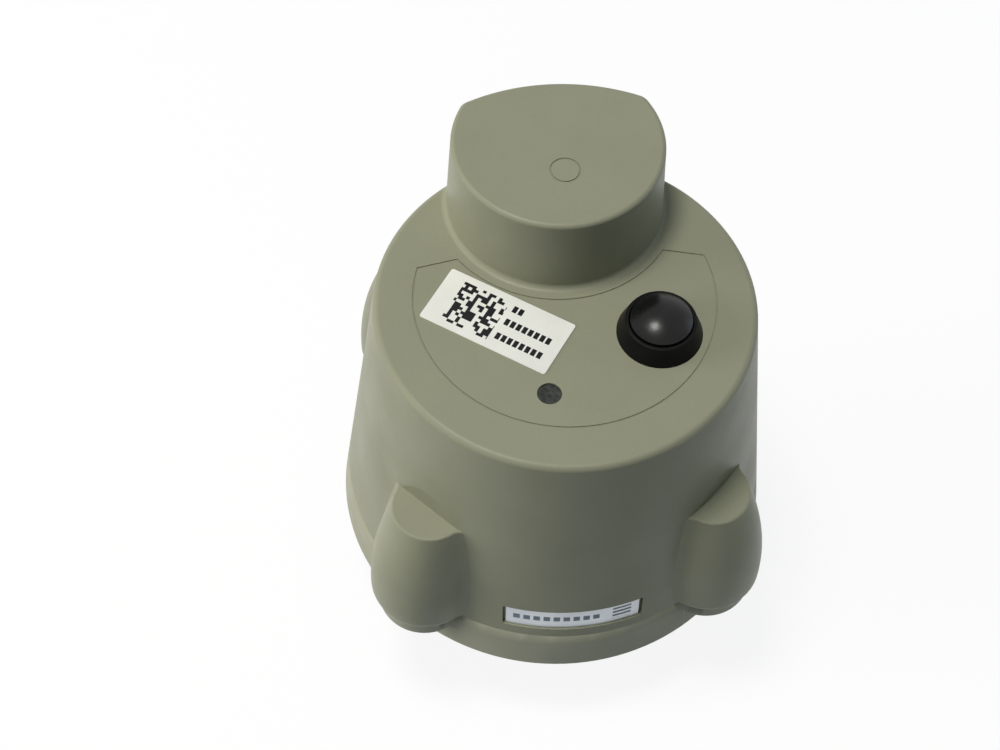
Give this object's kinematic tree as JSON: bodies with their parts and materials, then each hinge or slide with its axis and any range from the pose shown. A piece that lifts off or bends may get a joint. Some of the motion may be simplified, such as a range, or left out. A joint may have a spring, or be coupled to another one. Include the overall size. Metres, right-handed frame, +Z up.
{
  "type": "ultrasonic level sensor",
  "caption": "Battery ultrasonic level sensor with a tapered housing, screw lobes, antenna hump, sprung push button, light window and a threaded spigot that holds the sounding horn.",
  "frame": {"origin": "centre of the spigot's end, on which the sensor stands", "axes": "+Z up along the spigot's axis, away from the tank; -Y is the front with the name strip; +Y is the side of the antenna hump"},
  "size_m": [0.0986, 0.0986, 0.1145],
  "materials": {
    "housing": "semi-gloss",
    "strip": "printed",
    "label": "printed",
    "window": "tinted",
    "button": "satin",
    "black_plastic": "satin",
    "board": "satin",
    "contacts": "plated",
    "steel": "plated",
    "cans": "satin",
    "cell": "satin",
    "seals": "matte",
    "ceramic": "matte",
    "potting": "satin",
    "lead": "satin",
    "plug": "satin"
  },
  "bodies": {
    "housing": {"cover": "housing", "base_plate": "housing", "name_strip": "strip", "id_label": "label", "window_lens": "window", "indicator_lamp": "window", "lamp_leads": "contacts", "button_bezel": "button", "button_spring": "steel", "button_washer": "steel", "button_nut": "steel", "switch_body": "black_plastic", "switch_terminals": "contacts", "circuit_board": "board", "antenna_board": "board", "board_screws": "steel", "radio_module": "steel", "processor_chip": "black_plastic", "capacitors": "cans", "battery_cell": "cell", "battery_clips": "steel", "cover_seal": "seals", "cover_screws": "steel", "seat_gasket": "seals", "horn": "black_plastic", "horn_seal": "seals", "horn_screws": "steel", "transducer_damper": "seals", "transducer_can": "cans", "piezo_disc": "ceramic", "transducer_potting": "potting", "transducer_pins": "contacts", "transducer_lead": "lead", "lead_plug": "plug"},
    "button": {"button_cap": "button", "button_contact": "contacts"}
  },
  "joints": [
    {"name": "button_press", "type": "slide", "parent": "housing", "child": "button", "axis": [0, 0, -1], "range_m": [0, 0.0018], "stiffness_N_per_m": 900, "springref_m": -0.0012, "deforming": ["button_spring"]}
  ]
}
